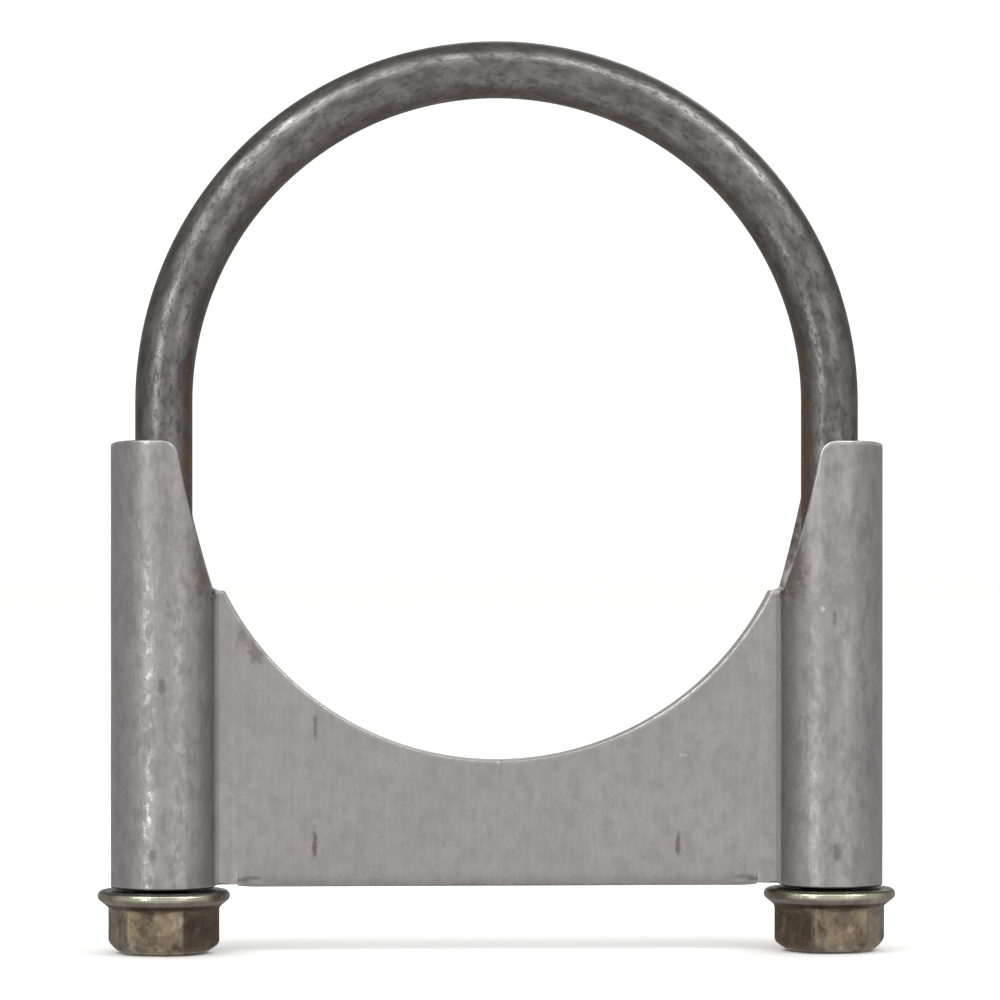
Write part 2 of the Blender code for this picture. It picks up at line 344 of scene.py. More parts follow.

# %% [markdown]
# ## The saddle's finish: pressed sheet steel
#
# The saddle is cold-rolled sheet, so it is paler and duller than the rod. It has a faint grain, a cloudy
# film of oil and oxide, lines where the sleeves dragged through the die, and a few stains and scratches,
# each one placed. The sleeves' outer flanks are painted darker and blue-violet as shade, and painted
# shade also darkens the crease between each sleeve and the plate, the fold's underside and the grooves
# by the fold's ends, with a painted highlight below each groove. The mesh carries "rim", which is 1 on
# its cut edges: they have rubbed bright, most of all high on the front's right.

# %% List the single marks in mm: place, half size, colour, strength and how ragged the outline is
BROWN = (0.115, 0.070, 0.042)
DARK = (0.050, 0.046, 0.044)
PALE = (0.80, 0.79, 0.77)
MAUVE = (0.165, 0.120, 0.118)
RUST = (0.160, 0.088, 0.052)
SADDLE_MARKS = [
    ((-30.5, -2.7, 17.9), (0.55, 1.5, 3.0), BROWN, 0.60, 0.6),
    ((30.0, -2.7, 17.9), (0.55, 1.5, 3.0), BROWN, 0.55, 0.6),
    ((-30.4, -2.7, 36.9), (0.50, 1.5, 3.0), BROWN, 0.42, 0.6),
    ((30.8, -2.7, 32.5), (1.30, 1.5, 0.35), PALE, 0.55, 0.7),
    ((-42.2, -2.7, 52.8), (1.9, 2.0, 2.6), MAUVE, 0.38, 0.7),
    ((-39.9, -2.7, 49.6), (2.0, 2.0, 2.0), MAUVE, 0.45, 0.7),
    ((-55.8, -8.9, 44.4), (0.75, 1.5, 2.2), DARK, 0.40, 0.6),
    ((-57.2, -8.9, 16.2), (1.00, 1.5, 1.6), DARK, 0.32, 0.6),
    ((-57.6, -8.9, 12.4), (0.60, 1.5, 0.9), DARK, 0.35, 0.6),
    ((0.0, -2.7, 31.3), (0.5, 1.5, 0.5), PALE, 0.90, 0.4),
    ((-49.0, -5.5, 64.0), (2.2, 6.0, 7.0), RUST, 0.45, 0.6),
    ((-47.2, -4.0, 64.0), (0.8, 3.0, 7.5), BROWN, 0.80, 0.6),
    ((49.0, -5.5, 64.0), (2.4, 6.0, 7.0), RUST, 0.50, 0.6),
    ((47.2, -4.0, 64.0), (0.8, 3.0, 7.5), BROWN, 0.80, 0.6),
    ((53.5, -8.7, 56.9), (0.55, 1.5, 0.50), PALE, 0.90, 0.4),
    ((55.4, -8.9, 55.4), (0.50, 1.5, 1.9), DARK, 0.35, 0.6),
    ((55.9, -8.9, 17.0), (1.10, 1.5, 2.4), DARK, 0.34, 0.7),
    # The next six paint the pinches at the fold's ends: dark lines of painted shade along the grooves and
    # pale bands of painted highlight on the bulges below them.
    ((-42.6, -2.7, 11.90), (1.50, 2.0, 0.50), DARK, 0.42, 0.05),
    ((-41.0, -2.7, 12.30), (2.40, 2.0, 0.42), DARK, 0.34, 0.05),
    ((-40.2, -2.7, 11.55), (2.00, 2.0, 0.42), PALE, 0.45, 0.05),
    ((42.6, -2.7, 11.90), (1.50, 2.0, 0.50), DARK, 0.40, 0.05),
    ((41.0, -2.7, 12.30), (2.40, 2.0, 0.42), DARK, 0.30, 0.05),
    ((40.2, -2.7, 11.55), (2.00, 2.0, 0.42), PALE, 0.45, 0.05),
    ((49.5, 6.5, 73.0), (3.4, 5.0, 15.0), RUST, 0.85, 0.6),
    ((-49.5, 6.5, 70.0), (2.6, 4.0, 11.0), RUST, 0.60, 0.6),
    # Painted shade along the fold's underside, where it faces down.
    ((0.0, -1.0, 10.7), (42.0, 1.6, 0.50), MAUVE, 0.45, 0.6),
    ((24.0, 2.7, 23.0), (0.50, 1.5, 3.4), BROWN, 0.60, 0.6),
    ((-18.0, 2.7, 18.5), (1.6, 1.5, 0.5), PALE, 0.45, 0.7),
    ((55.0, 8.9, 57.0), (0.70, 1.5, 3.0), DARK, 0.40, 0.6),
    ((-54.0, 8.9, 29.0), (0.90, 1.5, 2.0), MAUVE, 0.45, 0.6),
]

# %% Choose the saddle's patches and colours
SADDLE_PATCHES = {  # stretch across, stretch along, detail, low, high
    "film": (75, 60, 5.0, 0.35, 0.68),
    "mottle": (420, 340, 5.0, 0.40, 0.68),
    "grain": (1500, 1100, 3.0, 0.30, 0.75),
    "streaks": (1500, 70, 3.0, 0.42, 0.76),
    "drag": (1100, 45, 3.0, 0.48, 0.76),
    "blotches": (520, 240, 5.0, 0.44, 0.64),
    "shiny": (900, 620, 1.0, 0.44, 0.66),
    "breaks": (520, 520, 4.0, 0.28, 0.60),
}
SADDLE_SKIN = (0.615, 0.578, 0.563)
SADDLE_LAYERS = [
    ("film", (0.520, 0.487, 0.474), 0.80),
    ("mottle", (0.430, 0.400, 0.393), 0.50),
    ("grain", (0.440, 0.420, 0.412), 0.35),
    ("streaks", (0.72, 0.70, 0.69), 0.18),
    ("blotches", (0.360, 0.345, 0.345), 0.62),
    ("shiny", (0.74, 0.72, 0.71), 0.25),
    # Painted shade: a dark band down the crease between each sleeve and the plate.
    ("crease", (0.230, 0.215, 0.205), 0.55),
    # Painted shade: the sleeves' outer flanks, darker and blue-violet where they turn away from the front.
    ("flank_shade", (0.450, 0.430, 0.470), 0.60),
]
WORN_LAYER = ("worn", (0.86, 0.84, 0.83), 0.85)
SADDLE_ROUGHNESS = (0.42, {"film": 0.07, "shiny": -0.13, "wear": -0.10})
SADDLE_RELIEF = (0.03 * MM, {"mottle": -0.35, "grain": -0.35, "streaks": 0.30, "drag": 0.25,
                             "blotches": -0.35})

# Where each place on the saddle starts and where it is full; across is from the middle to either side
SLEEVE_ACROSS = (46.0 * MM, 48.0 * MM)
FLANK_ACROSS = (60.0 * MM, 64.3 * MM)
CREASE_ACROSS = (46.2 * MM, 46.6 * MM, 46.8 * MM, 50.0 * MM)
SHINY_UP = (76.0 * MM, 56.0 * MM)
SHINY_LEFT = (-50.0 * MM, -52.0 * MM)
SHINY_HIGH_UP = 0.15  # how much of the shine is left high up,
SHINY_ON_RIGHT = 0.45  # and how much the right sleeve has
WORN_RIM = (0.25, 0.85)
WORN_RIGHT = (18.0 * MM, 30.0 * MM)
WORN_FRONT = (1.0 * MM, -1.0 * MM)
WORN_UP = (24.0 * MM, 30.0 * MM)
WORN_ELSEWHERE = 0.3


# %% Build the saddle's steel
def mark_masks(tree, place, masks):
    """Adds a mask for each single mark: the layers that show them."""
    layers = []
    for number, (centre, half_size, tint, strength, ragged) in enumerate(SADDLE_MARKS):
        masks[number] = effect(tree, MARK, Vector=place, Place=[v * MM for v in centre],
                               Size=[v * MM for v in half_size], Ragged=ragged, Strength=strength)
        layers.append((number, tint, 1.0))
    return layers


def make_saddle_steel():
    made, tree, shader = open_metal("pressed_sheet_steel")
    place = add(tree, "ShaderNodeTexCoord").outputs["Object"]
    across, depth, up = add(tree, "ShaderNodeSeparateXYZ", {0: place}).outputs
    rim = add(tree, "ShaderNodeAttribute", attribute_name="rim").outputs["Fac"]
    masks = patch_masks(tree, place, SADDLE_PATCHES)

    either_side = sums(tree, "ABSOLUTE", across)
    on_sleeve = ramp(tree, either_side, *SLEEVE_ACROSS)
    # Painted shade on the sleeves' outer flanks
    masks["flank_shade"] = ramp(tree, either_side, *FLANK_ACROSS)
    # Painted shade in the creases
    masks["crease"] = band(tree, either_side, *CREASE_ACROSS)
    masks["blotches"] = product(tree, masks["blotches"], on_sleeve)
    masks["drag"] = product(tree, masks["drag"], on_sleeve)
    lower = ramp(tree, up, *SHINY_UP, SHINY_HIGH_UP, 1.0)
    left = ramp(tree, across, *SHINY_LEFT, SHINY_ON_RIGHT, 1.0)
    masks["shiny"] = product(tree, masks["shiny"], on_sleeve, product(tree, lower, left))

    masks["wear"] = product(tree, ramp(tree, rim, *WORN_RIM), masks["breaks"])
    worn_side = product(tree, ramp(tree, across, *WORN_RIGHT), ramp(tree, depth, *WORN_FRONT),
                        ramp(tree, up, *WORN_UP))
    worn_side = sums(tree, "MULTIPLY_ADD", worn_side, 1 - WORN_ELSEWHERE, WORN_ELSEWHERE)
    masks["worn"] = product(tree, masks["wear"], worn_side)

    layers = [*SADDLE_LAYERS, *mark_masks(tree, place, masks), WORN_LAYER]
    finish_metal(tree, shader, masks, SADDLE_SKIN, layers, SADDLE_ROUGHNESS, SADDLE_RELIEF)
    return made


SADDLE_STEEL = make_saddle_steel()

# %% [markdown]
# ## The nuts' finish: yellow zinc
#
# Yellow passivated zinc is a thin film, so it drifts between straw, olive and brown over a few
# millimetres. It is brown on the sides that face each other. The hollow under the flange is painted dark
# as shade, and the flange's seat is painted black, partly as dirt and partly as the shadow of the sleeve
# above it. The flange's front and back carry a painted highlight, and the hexagon's corners have rubbed pale.

# %% Choose the zinc's patches and colours
NUT_PATCHES = {  # stretch across, stretch along, detail, low, high
    "mauve": (230, 250, 5.0, 0.38, 0.60),
    "brown": (330, 300, 5.0, 0.50, 0.68),
    "pale": (520, 380, 4.0, 0.54, 0.74),
    "soot": (1200, 900, 4.0, 0.50, 0.74),
}
NUT_SKIN = (0.42, 0.335, 0.215)
NUT_LAYERS = [
    ("mauve", (0.240, 0.196, 0.165), 0.90),
    ("brown", (0.135, 0.080, 0.045), 0.75),
    ("pale", (0.72, 0.64, 0.48), 0.60),
    ("soot", (0.080, 0.066, 0.056), 0.45),
    ("inner", (0.090, 0.058, 0.036), 0.60),
    # Painted shade: a dark band in the hollow under the flange.
    ("shade_under_flange", (0.070, 0.046, 0.034), 0.80),
    ("under_rim", (0.42, 0.35, 0.35), 0.60),
    # The flange's painted highlight: pale cream at its front and back, fading towards its sides.
    ("flange_highlight", (0.86, 0.86, 0.66), 1.0),
    # The flange's seat: black, partly dirt and partly a painted shadow of the sleeve above it.
    ("seat", (0.030, 0.027, 0.024), 0.85),
    ("edges", (0.66, 0.62, 0.50), 0.50),
]
NUT_ROUGHNESS = (0.36, {"brown": 0.10, "soot": 0.10, "flange": -0.13})
NUT_RELIEF = (0.035 * MM, {"brown": 0.3, "soot": -0.6})

# Where each place on a nut starts and where it is full; heights are above the ground
FLANGE_UP = (8.6 * MM, 9.3 * MM)
# Where the painted shade under the flange starts, is full, fades and ends
SHADE_UNDER_FLANGE_UP = (7.0 * MM, 7.5 * MM, 7.9 * MM, 8.3 * MM)
UNDER_RIM_UP = (7.9 * MM, 8.2 * MM, 8.6 * MM, 8.9 * MM)
# Where the seat's dirt and painted shadow start and where they are full
SEAT_DIRT_AND_SHADOW_UP = (9.6 * MM, 10.0 * MM)
INNER_ACROSS = (52.5 * MM, 51.9 * MM)
# The flange's painted highlight: weak at its sides, full at its front and back.
FLANGE_HIGHLIGHT_DEPTH = (6.8 * MM, 8.8 * MM)
FLANGE_HIGHLIGHT_SIDES = 0.12  # how bright the rim is at the sides,
FLANGE_HIGHLIGHT_FRONT = 0.80  # and at the front and back


# %% Build the nuts' zinc
def make_nut_zinc():
    made, tree, shader = open_metal("yellow_zinc")
    place = add(tree, "ShaderNodeTexCoord").outputs["Object"]
    across, depth, up = add(tree, "ShaderNodeSeparateXYZ", {0: place}).outputs
    masks = patch_masks(tree, place, NUT_PATCHES)
    masks["flange"] = ramp(tree, up, *FLANGE_UP)
    masks["inner"] = ramp(tree, sums(tree, "ABSOLUTE", across), *INNER_ACROSS)
    masks["shade_under_flange"] = band(tree, up, *SHADE_UNDER_FLANGE_UP)
    masks["under_rim"] = band(tree, up, *UNDER_RIM_UP)
    # Painted highlight on the flange's front and back
    rubbed_and_sheen = ramp(tree, sums(tree, "ABSOLUTE", depth), *FLANGE_HIGHLIGHT_DEPTH, FLANGE_HIGHLIGHT_SIDES, FLANGE_HIGHLIGHT_FRONT)
    masks["flange_highlight"] = product(tree, masks["flange"], rubbed_and_sheen)
    masks["seat"] = ramp(tree, up, *SEAT_DIRT_AND_SHADOW_UP)
    masks["edges"] = effect(tree, EDGE_WEAR, Width=0.5 * MM, Breaks=520.0)
    finish_metal(tree, shader, masks, NUT_SKIN, NUT_LAYERS, NUT_ROUGHNESS, NUT_RELIEF)
    return made


NUT_ZINC = make_nut_zinc()
print("finishes:", [made.name for made in (ROD_STEEL, SADDLE_STEEL, NUT_ZINC)])

# %% [markdown]
# ## The screw thread
#
# Rod and nuts share one 3/8-16 thread, so its shape is written once. Unrolled, a thread is a row of 60
# degree ridges: going up by one pitch, or once round the leg, comes back to the same place. The phase
# below is 0 on a crest and a half in the middle of a groove, and it makes the thread right-handed.

# %% Thread sizes and the nut's matching groove
PITCH = 1.5875 * MM
THREAD_DEPTH = 0.974 * MM
CREST_EDGE = 0.875  # share of the half pitch where the crest's flat starts
ROOT_EDGE = 0.25  # and where the groove's flat bottom ends
THREAD_TURNS = 22
RUN_OUT_TURNS = 1.5  # the last part of the thread, where the groove fades out
THREAD_GAP = 0.08 * MM  # between the nut's thread and the rod's
NUT_MINOR_RADIUS = 3.98 * MM


def groove_share(angle, height):
    """0 on the thread's crest and 1 in the bottom of its groove, at a place on the leg."""
    phase = (height / PITCH - angle / math.tau) % 1.0
    from_groove = abs(phase - 0.5) * 2
    return share_of(from_groove, CREST_EDGE, ROOT_EDGE - CREST_EDGE)


def nut_thread_radius(angle, height):
    """Radius of the nut's threaded wall, a running gap outside the rod's thread."""
    return max(ROD_RADIUS - THREAD_DEPTH * groove_share(angle, height) + THREAD_GAP, NUT_MINOR_RADIUS)


print("thread:", THREAD_TURNS, "turns on each leg,", round(THREAD_TURNS * PITCH / MM, 1), "mm long")

# %% [markdown]
# ## The bent rod
#
# A rod is a circle swept along a route, and its thread follows a rule, so Geometry Nodes make it. The
# route has close points along the threaded legs and wider ones over the arch. The tree sweeps the circle,
# draws each point in towards its leg's axis by the thread's rule, lets the groove run out at its upper
# end, and cuts the end's chamfer. It also stores the two attributes that the rod's finish reads.

# %% Lay out the rod's route
RINGS_PER_TURN = 16
PLAIN_STEP = 2.2 * MM
ARCH_STEPS = 96
ROD_SIDES = 64
END_CHAMFER = 1.0 * MM


def rod_route():
    """Points up the left leg, over the arch and down the right leg."""
    close = [turn * PITCH / RINGS_PER_TURN for turn in range(THREAD_TURNS * RINGS_PER_TURN + 1)]
    plain_length = ARCH_HEIGHT - close[-1]
    plain_steps = round(plain_length / PLAIN_STEP)
    leg = close + [close[-1] + plain_length * step / plain_steps for step in range(1, plain_steps)]
    arch = []
    for step in range(ARCH_STEPS + 1):
        angle = math.pi * (1 - step / ARCH_STEPS)
        arch.append((LEG_X * math.cos(angle), 0, ARCH_HEIGHT + LEG_X * math.sin(angle)))
    return [(-LEG_X, 0, z) for z in leg] + arch + [(LEG_X, 0, z) for z in reversed(leg)]


def line_object(name, points):
    """An object whose mesh is one open line."""
    data = bpy.data.meshes.new(name)
    data.from_pydata(points, [(i, i + 1) for i in range(len(points) - 1)], [])
    return new_object(name, data)


route = line_object("rod_route", rod_route())
print("route points:", len(route.data.vertices))


# %% Build the sweep and the thread as a node tree
def make_rod_tree():
    tree, given, out = open_group(
        "threaded_rod", "GeometryNodeTree",
        [("Route", "NodeSocketGeometry", None), ("Rod Radius", FLOAT, 0.0), ("Sides", "NodeSocketInt", 64),
         ("Leg X", FLOAT, 0.0), ("Arch Height", FLOAT, 0.0), ("Pitch", FLOAT, 0.0), ("Depth", FLOAT, 0.0),
         ("Thread Top", FLOAT, 0.0), ("Run Out", FLOAT, 0.0), ("End Radius", FLOAT, 0.0),
         ("Material", "NodeSocketMaterial", None)],
        [("Rod", "NodeSocketGeometry")])

    def store(geometry, name, kind, value):
        return add(tree, "GeometryNodeStoreNamedAttribute",
                   {"Geometry": geometry, "Name": name, "Value": value},
                   data_type=kind, domain="POINT").outputs[0]

    def stored(name, kind):
        named = add(tree, "GeometryNodeInputNamedAttribute", {"Name": name}, data_type=kind)
        return named.outputs["Attribute"]

    line = add(tree, "GeometryNodeMeshToCurve", {0: given["Route"]}).outputs[0]
    line = store(line, "along", "FLOAT", add(tree, "GeometryNodeSplineParameter").outputs["Length"])
    ring = add(tree, "GeometryNodeCurvePrimitiveCircle",
               {"Resolution": given["Sides"], "Radius": given["Rod Radius"]}).outputs[0]
    place = add(tree, "GeometryNodeInputPosition").outputs[0]
    ring = store(ring, "ring", "FLOAT_VECTOR", place)
    rod = add(tree, "GeometryNodeCurveToMesh",
              {"Curve": line, "Profile Curve": ring, "Fill Caps": True}).outputs[0]

    on_ring = add(tree, "ShaderNodeSeparateXYZ", {0: stored("ring", "FLOAT_VECTOR")}).outputs
    straight = add(tree, "ShaderNodeCombineXYZ",
                   {0: on_ring[0], 1: on_ring[1], 2: stored("along", "FLOAT")}).outputs[0]
    rod = store(rod, "straight", "FLOAT_VECTOR", straight)
    x, y, z = add(tree, "ShaderNodeSeparateXYZ", {0: place}).outputs
    rise = sums(tree, "MAXIMUM", sums(tree, "SUBTRACT", z, given["Arch Height"]), 0.0)
    reach = sums(tree, "SQRT", sums(tree, "MULTIPLY_ADD", rise, rise, sums(tree, "MULTIPLY", x, x)))
    outward = sums(tree, "DIVIDE", sums(tree, "SUBTRACT", reach, given["Leg X"]), given["Rod Radius"])
    rod = store(rod, "outward", "FLOAT", outward)

    axis_x = sums(tree, "MULTIPLY", sums(tree, "SIGN", x), given["Leg X"])
    from_axis = sums(tree, "SUBTRACT", x, axis_x)
    square = sums(tree, "MULTIPLY_ADD", from_axis, from_axis, sums(tree, "MULTIPLY", y, y))
    radius = sums(tree, "SQRT", square)
    turns = sums(tree, "DIVIDE", sums(tree, "ARCTAN2", y, from_axis), math.tau)
    phase = sums(tree, "FRACT", sums(tree, "SUBTRACT", sums(tree, "DIVIDE", z, given["Pitch"]), turns))
    from_groove = sums(tree, "MULTIPLY", sums(tree, "ABSOLUTE", sums(tree, "SUBTRACT", phase, 0.5)), 2.0)
    groove = add(tree, "ShaderNodeMapRange",
                 {"Value": from_groove, "From Min": CREST_EDGE, "From Max": ROOT_EDGE}).outputs[0]
    run_out = sums(tree, "SUBTRACT", given["Thread Top"], given["Run Out"])
    fade = ramp(tree, z, run_out, given["Thread Top"], 1.0, 0.0)
    cut = sums(tree, "MULTIPLY", sums(tree, "MULTIPLY", groove, fade), given["Depth"])
    threaded = sums(tree, "SUBTRACT", radius, cut)
    threaded = sums(tree, "MINIMUM", threaded, sums(tree, "ADD", given["End Radius"], z))
    scale = sums(tree, "DIVIDE", threaded, radius)
    moved = add(tree, "ShaderNodeCombineXYZ", {0: sums(tree, "MULTIPLY_ADD", from_axis, scale, axis_x),
                                               1: sums(tree, "MULTIPLY", y, scale), 2: z}).outputs[0]
    on_leg = sums(tree, "LESS_THAN", z, given["Thread Top"])
    rod = add(tree, "GeometryNodeSetPosition",
              {"Geometry": rod, "Selection": on_leg, "Position": moved}).outputs[0]
    for name in ("along", "ring"):
        rod = add(tree, "GeometryNodeRemoveAttribute", {"Geometry": rod, "Name": name}).outputs[0]
    rod = add(tree, "GeometryNodeRealizeInstances", {0: rod}).outputs[0]
    rod = add(tree, "GeometryNodeSetMaterial", {"Geometry": rod, "Material": given["Material"]}).outputs[0]
    tree.links.new(rod, out["Rod"])
    return tree


# %% Run the tree on the route and keep the result as a plain mesh
WELD = 0.001 * MM


def run_tree(thing, tree, values):
    """Gives the tree its named inputs, evaluates it on the object and returns the mesh."""
    modifier = thing.modifiers.new(tree.name, "NODES")
    modifier.node_group = tree
    for socket in tree.interface.items_tree:
        if socket.in_out == "INPUT" and socket.name in values:
            modifier[socket.identifier] = values[socket.name]
    bpy.context.view_layer.update()
    made = bpy.data.meshes.new_from_object(thing.evaluated_get(bpy.context.evaluated_depsgraph_get()))
    thing.modifiers.remove(modifier)
    return made


def face_out(data):
    """Turns a closed mesh right side out, if it is inside out."""
    work = bmesh.new()
    work.from_mesh(data)
    bmesh.ops.remove_doubles(work, verts=work.verts, dist=WELD)
    bmesh.ops.recalc_face_normals(work, faces=work.faces)
    if work.calc_volume(signed=True) < 0:
        bmesh.ops.reverse_faces(work, faces=work.faces)
    volume = work.calc_volume(signed=True)
    open_edges = sum(not edge.is_manifold for edge in work.edges)
    work.to_mesh(data)
    work.free()
    print(data.name, "volume", round(volume * 1e6, 3), "cm3, open edges", open_edges,
          "faces", len(data.polygons))


def smooth_by_angle(data, degrees):
    data.shade_smooth()
    data.set_sharp_from_angle(angle=math.radians(degrees))


def finish_piece(name, data, material, body):
    """A piece from its mesh: it takes a finish, rides on a CAD body and stands for that body's node."""
    data.name = name
    data.materials.clear()
    data.materials.append(material)
    made = new_object(name, data)
    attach(made, body)
    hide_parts(body)
    return made


rod_mesh = run_tree(route, make_rod_tree(), {
    "Rod Radius": ROD_RADIUS, "Sides": ROD_SIDES, "Leg X": LEG_X, "Arch Height": ARCH_HEIGHT,
    "Pitch": PITCH, "Depth": THREAD_DEPTH, "Thread Top": THREAD_TURNS * PITCH,
    "Run Out": RUN_OUT_TURNS * PITCH, "End Radius": ROD_RADIUS - END_CHAMFER, "Material": ROD_STEEL})
bpy.data.objects.remove(route)
face_out(rod_mesh)
smooth_by_angle(rod_mesh, degrees=38)
finish_piece("bent_rod", rod_mesh, ROD_STEEL, "u_bolt")

# %% [markdown]
# ## The folded saddle
#
# The real saddle is one blank. A press folds it along its bottom, closes the two plates on each other and
# forms both ends round the legs. The mesh follows the same idea: the middle of the sheet is laid out as
# columns, from a sleeve's open seam, round the sleeve, through the tight crease and along the plate under
# the pipe seat.
#
# A bevel would slide along the columns where the slanted edge runs almost beside them. So the sheet stops
# short of its cut edges by the edge's own radius, both skins are set off from it, and a rounded rim is
# then wrapped round whatever is still open.

# %% Sizes of the sheet
SHEET = 2.5 * MM  # its thickness
PLATE_GAP = 0.4 * MM  # between the front plate and the back plate
PIPE_RADIUS = LEG_X - ROD_RADIUS
SEAT_HEIGHT = 82.5 * MM  # of the pipe's axis
SEAM_GAP = 2.0 * MM  # between its front and back edges on a sleeve's outer side
SHELF_HEIGHT = 59.9 * MM  # of the small flat beside the tip of the seat
EDGE_FOOT = 60.6 * MM  # where the sleeve's slanted edge starts
EDGE_TOP_X = 53.3 * MM  # where it would reach the sleeve's top
EDGE_BULGE = 0.45 * MM  # how far it bows out in the middle
CORNER_RADIUS = 2.8 * MM  # between the slanted edge and the sleeve's top
OUTER_DIP = 0.6 * MM  # how much lower the top is at the seam
FOLD_HALF = 43.4 * MM  # half the length of the bottom fold
SLIT_WIDTH = 0.30 * MM  # of the cut at each end of the fold
SLIT_TOP = 13.1 * MM
STRIP_STEP = 0.20 * MM  # the plate stands this much prouder between the fold's end and the sleeve
STRIP_START = 0.1 * MM  # past the fold's end
STRIP_RAMP = 0.8 * MM  # the width over which it steps out
STRIP_RAISE = 0.55 * MM  # and its lower edge is this much higher than the sleeve's
CREASE_RADIUS = 1.0 * MM  # of the bend from sleeve to plate, on its outer face
EDGE_ROUND = 0.36 * MM  # of every cut edge
SEAT_RADIUS = PIPE_RADIUS + EDGE_ROUND

SHEET_MID = SLEEVE_OUTER - SHEET / 2
PLATE_MID = (PLATE_GAP + SHEET) / 2
STRIP_MID = PLATE_MID + STRIP_STEP
CREASE_MID = CREASE_RADIUS + SHEET / 2
CREASE_ANGLE = math.asin((STRIP_MID + CREASE_MID) / (SHEET_MID + CREASE_MID))
CREASE_X = LEG_X - (SHEET_MID + CREASE_MID) * math.cos(CREASE_ANGLE)
EDGE_FOOT_X = LEG_X - SLEEVE_OUTER * math.cos(CREASE_ANGLE)
SLEEVE_LENGTH = SHEET_MID * (math.pi - CREASE_ANGLE)
CREASE_LENGTH = CREASE_MID * (math.pi / 2 - CREASE_ANGLE)
FOLD_START = SADDLE_BOTTOM + PLATE_GAP / 2 + SHEET
print("crease at", round(CREASE_X / MM, 2), "mm; along the sheet, sleeve", round(SLEEVE_LENGTH / MM, 2), "mm")


# %% The sheet's plan: a place and a facing direction at each length along it
def plate_y(x):
    """Middle of the front plate: it steps out beside the sleeve."""
    return -(PLATE_MID + STRIP_STEP * eased(share_of(x, FOLD_HALF + STRIP_START, STRIP_RAMP)))


def plan(length):
    """(x, y) of the sheet's middle and the way it faces, at a length from the sleeve's outermost line."""
    if length <= SLEEVE_LENGTH:
        angle = length / SHEET_MID
        out = (math.cos(angle), -math.sin(angle))
        return (LEG_X + SHEET_MID * out[0], SHEET_MID * out[1]), out
    if length <= SLEEVE_LENGTH + CREASE_LENGTH:
        angle = CREASE_ANGLE + (length - SLEEVE_LENGTH) / CREASE_MID
        x = CREASE_X + CREASE_MID * math.cos(angle)
        y = -(STRIP_MID + CREASE_MID) + CREASE_MID * math.sin(angle)
        return (x, y), (-math.cos(angle), -math.sin(angle))
    x = CREASE_X - (length - SLEEVE_LENGTH - CREASE_LENGTH)
    return (x, plate_y(x)), (0.0, -1.0)


def length_at(x):
    """Length along the sheet of a place on the plate."""
    return SLEEVE_LENGTH + CREASE_LENGTH + CREASE_X - x


# %% The sheet's upper edge, as (length, height) points
def slanted_edge(share):
    """The sleeve's cut edge, from beside the tip (0) to its top (1): x on the outer face, and height."""
    x = EDGE_FOOT_X + (EDGE_TOP_X - EDGE_FOOT_X) * share + 4 * EDGE_BULGE * share * (1 - share)
    return x, EDGE_FOOT + (SLEEVE_TOP - EDGE_FOOT) * share


def sleeve_edge():
    """From the seam, round the sleeve's front and down its slanted edge to the tip's shelf."""
    edge = []
    seam = SHEET_MID * math.asin(SEAM_GAP / 2 / SHEET_MID)
    corner_share = 1 - CORNER_RADIUS / (SLEEVE_TOP - EDGE_FOOT)
    corner = SHEET_MID * math.acos((slanted_edge(corner_share)[0] - LEG_X) / SLEEVE_OUTER)
    top_steps, corner_steps, edge_steps, crease_steps = 22, 12, 18, 9
    for step in range(top_steps):
        share = step / top_steps
        length = seam + (corner - CORNER_RADIUS - seam) * share
        edge.append((length, SLEEVE_TOP - OUTER_DIP * (1 - share) ** 3))
    for step in range(corner_steps):
        turn = math.pi / 2 * step / corner_steps
        length = corner - CORNER_RADIUS * (1 - math.sin(turn))
        edge.append((length, SLEEVE_TOP - CORNER_RADIUS * (1 - math.cos(turn))))
    for step in range(edge_steps + 1):
        x, height = slanted_edge(corner_share * (1 - step / edge_steps))
        edge.append((SHEET_MID * math.acos((x - LEG_X) / SLEEVE_OUTER), height))
    for step in range(1, crease_steps + 1):
        share = step / crease_steps
        height = EDGE_FOOT + (SHELF_HEIGHT - EDGE_FOOT) * share
        edge.append((SLEEVE_LENGTH + CREASE_LENGTH * share, height))
    return edge


def set_back(edge, amount):
    """The same edge moved into the sheet by an amount, with its corners kept square to both sides."""
    points = [Vector(point) for point in edge]
    ends = [points[0] - Vector((0, 1))] + points + [points[-1] + Vector((1, 0))]
    made = []
    for before, here, after in zip(ends, ends[1:], ends[2:]):
        first, second = (here - before).normalized(), (after - here).normalized()
        into = Vector((first.y, -first.x)) + Vector((second.y, -second.x))
        made.append(here + into * (amount / (1 + first.dot(second))))
    return made


# %% Stations: where each column starts, set back from the cut edge
SEAT_STEPS = 60
SLIT_CLEARANCE = 0.25 * MM  # no other column comes closer to a side of the slit


def seat_height(x):
    """Height of the seat's set-back edge at a place on the plate."""
    return SEAT_HEIGHT - math.sqrt(SEAT_RADIUS ** 2 - x ** 2)


def plate_stations():
    """Columns from the tip of the seat to the middle, with one on each side of the slit."""
    tip_height = SHELF_HEIGHT - EDGE_ROUND
    tip_x = math.sqrt(SEAT_RADIUS ** 2 - (SEAT_HEIGHT - tip_height) ** 2)
    tip_angle = math.asin(tip_x / SEAT_RADIUS)
    places = [SEAT_RADIUS * math.sin(tip_angle * step / SEAT_STEPS) for step in range(SEAT_STEPS + 1)]
    slit = (FOLD_HALF - EDGE_ROUND, FOLD_HALF + SLIT_WIDTH + EDGE_ROUND)
    places = [x for x in places if min(abs(x - side) for side in slit) > SLIT_CLEARANCE]
    places = sorted([*places, *slit], reverse=True)
    return [Vector((length_at(x), seat_height(x))) for x in places]


stations = set_back(sleeve_edge(), EDGE_ROUND) + plate_stations()
print("stations in a quarter:", len(stations))


